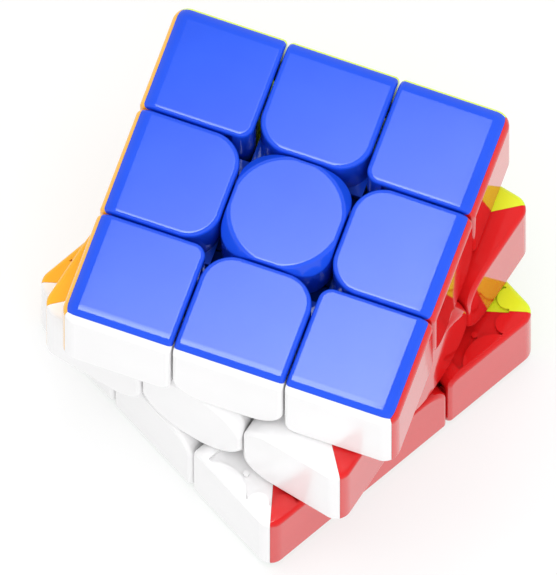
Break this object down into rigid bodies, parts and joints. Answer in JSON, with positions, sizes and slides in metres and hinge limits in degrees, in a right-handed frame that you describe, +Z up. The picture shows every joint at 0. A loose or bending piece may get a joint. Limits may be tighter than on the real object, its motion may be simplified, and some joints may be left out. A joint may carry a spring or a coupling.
{
  "type": "twisty puzzle cube",
  "caption": "Stickerless twisty puzzle cube, three by three by three, with its top and bottom layers part way through a turn about the upright axis.",
  "frame": {"origin": "middle of the green face, on the surface that the cube rests on", "axes": "+Z up through the blue face, -Y out of the white centre, +X out of the red centre"},
  "size_m": [0.0684, 0.0684, 0.056],
  "materials": {
    "blue_plastic": "polished, coloured right through",
    "green_plastic": "polished, coloured right through",
    "white_plastic": "polished, coloured right through",
    "yellow_plastic": "polished, coloured right through",
    "red_plastic": "polished, coloured right through",
    "orange_plastic": "polished, coloured right through",
    "core_plastic": "satin, greased",
    "bright_steel": "zinc plated",
    "spring_steel": "drawn wire"
  },
  "bodies": {
    "middle_slice": {"blue_spring": "spring_steel", "core_spider": "core_plastic", "green_spring": "spring_steel", "middle_slice_springs": "spring_steel", "tension_screws": "bright_steel", "washers": "bright_steel", "white_orange_edge_orange_shell": "orange_plastic", "white_orange_edge_white_shell": "white_plastic", "white_red_edge_red_shell": "red_plastic", "white_red_edge_white_shell": "white_plastic", "yellow_orange_edge_orange_shell": "orange_plastic", "yellow_orange_edge_yellow_shell": "yellow_plastic", "yellow_red_edge_red_shell": "red_plastic", "yellow_red_edge_yellow_shell": "yellow_plastic"},
    "blue_layer": {"blue_corner_shells": "blue_plastic", "blue_orange_edge_blue_shell": "blue_plastic", "blue_orange_edge_orange_shell": "orange_plastic", "blue_red_edge_blue_shell": "blue_plastic", "blue_red_edge_red_shell": "red_plastic", "blue_white_edge_blue_shell": "blue_plastic", "blue_white_edge_white_shell": "white_plastic", "blue_white_orange_corner_orange_shell": "orange_plastic", "blue_white_orange_corner_white_shell": "white_plastic", "blue_white_red_corner_red_shell": "red_plastic", "blue_white_red_corner_white_shell": "white_plastic", "blue_yellow_edge_blue_shell": "blue_plastic", "blue_yellow_edge_yellow_shell": "yellow_plastic", "blue_yellow_orange_corner_orange_shell": "orange_plastic", "blue_yellow_orange_corner_yellow_shell": "yellow_plastic", "blue_yellow_red_corner_red_shell": "red_plastic", "blue_yellow_red_corner_yellow_shell": "yellow_plastic"},
    "green_layer": {"green_corner_shells": "green_plastic", "green_orange_edge_green_shell": "green_plastic", "green_orange_edge_orange_shell": "orange_plastic", "green_red_edge_green_shell": "green_plastic", "green_red_edge_red_shell": "red_plastic", "green_white_edge_green_shell": "green_plastic", "green_white_edge_white_shell": "white_plastic", "green_white_orange_corner_orange_shell": "orange_plastic", "green_white_orange_corner_white_shell": "white_plastic", "green_white_red_corner_red_shell": "red_plastic", "green_white_red_corner_white_shell": "white_plastic", "green_yellow_edge_green_shell": "green_plastic", "green_yellow_edge_yellow_shell": "yellow_plastic", "green_yellow_orange_corner_orange_shell": "orange_plastic", "green_yellow_orange_corner_yellow_shell": "yellow_plastic", "green_yellow_red_corner_red_shell": "red_plastic", "green_yellow_red_corner_yellow_shell": "yellow_plastic"},
    "blue_centre": {"blue_centre_base": "blue_plastic"},
    "green_centre": {"green_centre_base": "green_plastic"},
    "white_centre": {"white_centre_base": "white_plastic"},
    "yellow_centre": {"yellow_centre_base": "yellow_plastic"},
    "red_centre": {"red_centre_base": "red_plastic"},
    "orange_centre": {"orange_centre_base": "orange_plastic"},
    "blue_cap": {"blue_centre_cap": "blue_plastic"},
    "green_cap": {"green_centre_cap": "green_plastic"},
    "white_cap": {"white_centre_cap": "white_plastic"},
    "yellow_cap": {"yellow_centre_cap": "yellow_plastic"},
    "red_cap": {"red_centre_cap": "red_plastic"},
    "orange_cap": {"orange_centre_cap": "orange_plastic"}
  },
  "joints": [
    {"name": "blue_layer_turn", "type": "hinge", "parent": "middle_slice", "child": "blue_layer", "pos_m": [0, 0, 0.0467], "axis": [0, 0, 1], "continuous": true},
    {"name": "green_layer_turn", "type": "hinge", "parent": "middle_slice", "child": "green_layer", "pos_m": [0, 0, 0.0093], "axis": [0, 0, -1], "continuous": true},
    {"name": "blue_centre_travel", "type": "slide", "parent": "blue_layer", "child": "blue_centre", "axis": [0, 0, 1], "range_m": [0, 0.001], "stiffness_N_per_m": 1200, "springref_m": -0.002, "deforming": ["blue_spring"]},
    {"name": "green_centre_travel", "type": "slide", "parent": "green_layer", "child": "green_centre", "axis": [0, 0, -1], "range_m": [0, 0.001], "stiffness_N_per_m": 1200, "springref_m": -0.002, "deforming": ["green_spring"]},
    {"name": "white_centre_travel", "type": "slide", "parent": "middle_slice", "child": "white_centre", "axis": [0, -1, 0], "range_m": [0, 0.001], "stiffness_N_per_m": 1200, "springref_m": -0.002, "deforming": ["middle_slice_springs"]},
    {"name": "yellow_centre_travel", "type": "slide", "parent": "middle_slice", "child": "yellow_centre", "axis": [0, 1, 0], "range_m": [0, 0.001], "stiffness_N_per_m": 1200, "springref_m": -0.002, "deforming": ["middle_slice_springs"]},
    {"name": "red_centre_travel", "type": "slide", "parent": "middle_slice", "child": "red_centre", "axis": [1, 0, 0], "range_m": [0, 0.001], "stiffness_N_per_m": 1200, "springref_m": -0.002, "deforming": ["middle_slice_springs"]},
    {"name": "orange_centre_travel", "type": "slide", "parent": "middle_slice", "child": "orange_centre", "axis": [-1, 0, 0], "range_m": [0, 0.001], "stiffness_N_per_m": 1200, "springref_m": -0.002, "deforming": ["middle_slice_springs"]},
    {"name": "blue_cap_lift", "type": "slide", "parent": "blue_centre", "child": "blue_cap", "axis": [0, 0, 1], "range_m": [0, 0.008]},
    {"name": "green_cap_lift", "type": "slide", "parent": "green_centre", "child": "green_cap", "axis": [0, 0, -1], "range_m": [0, 0.008]},
    {"name": "white_cap_lift", "type": "slide", "parent": "white_centre", "child": "white_cap", "axis": [0, -1, 0], "range_m": [0, 0.008]},
    {"name": "yellow_cap_lift", "type": "slide", "parent": "yellow_centre", "child": "yellow_cap", "axis": [0, 1, 0], "range_m": [0, 0.008]},
    {"name": "red_cap_lift", "type": "slide", "parent": "red_centre", "child": "red_cap", "axis": [1, 0, 0], "range_m": [0, 0.008]},
    {"name": "orange_cap_lift", "type": "slide", "parent": "orange_centre", "child": "orange_cap", "axis": [-1, 0, 0], "range_m": [0, 0.008]}
  ]
}
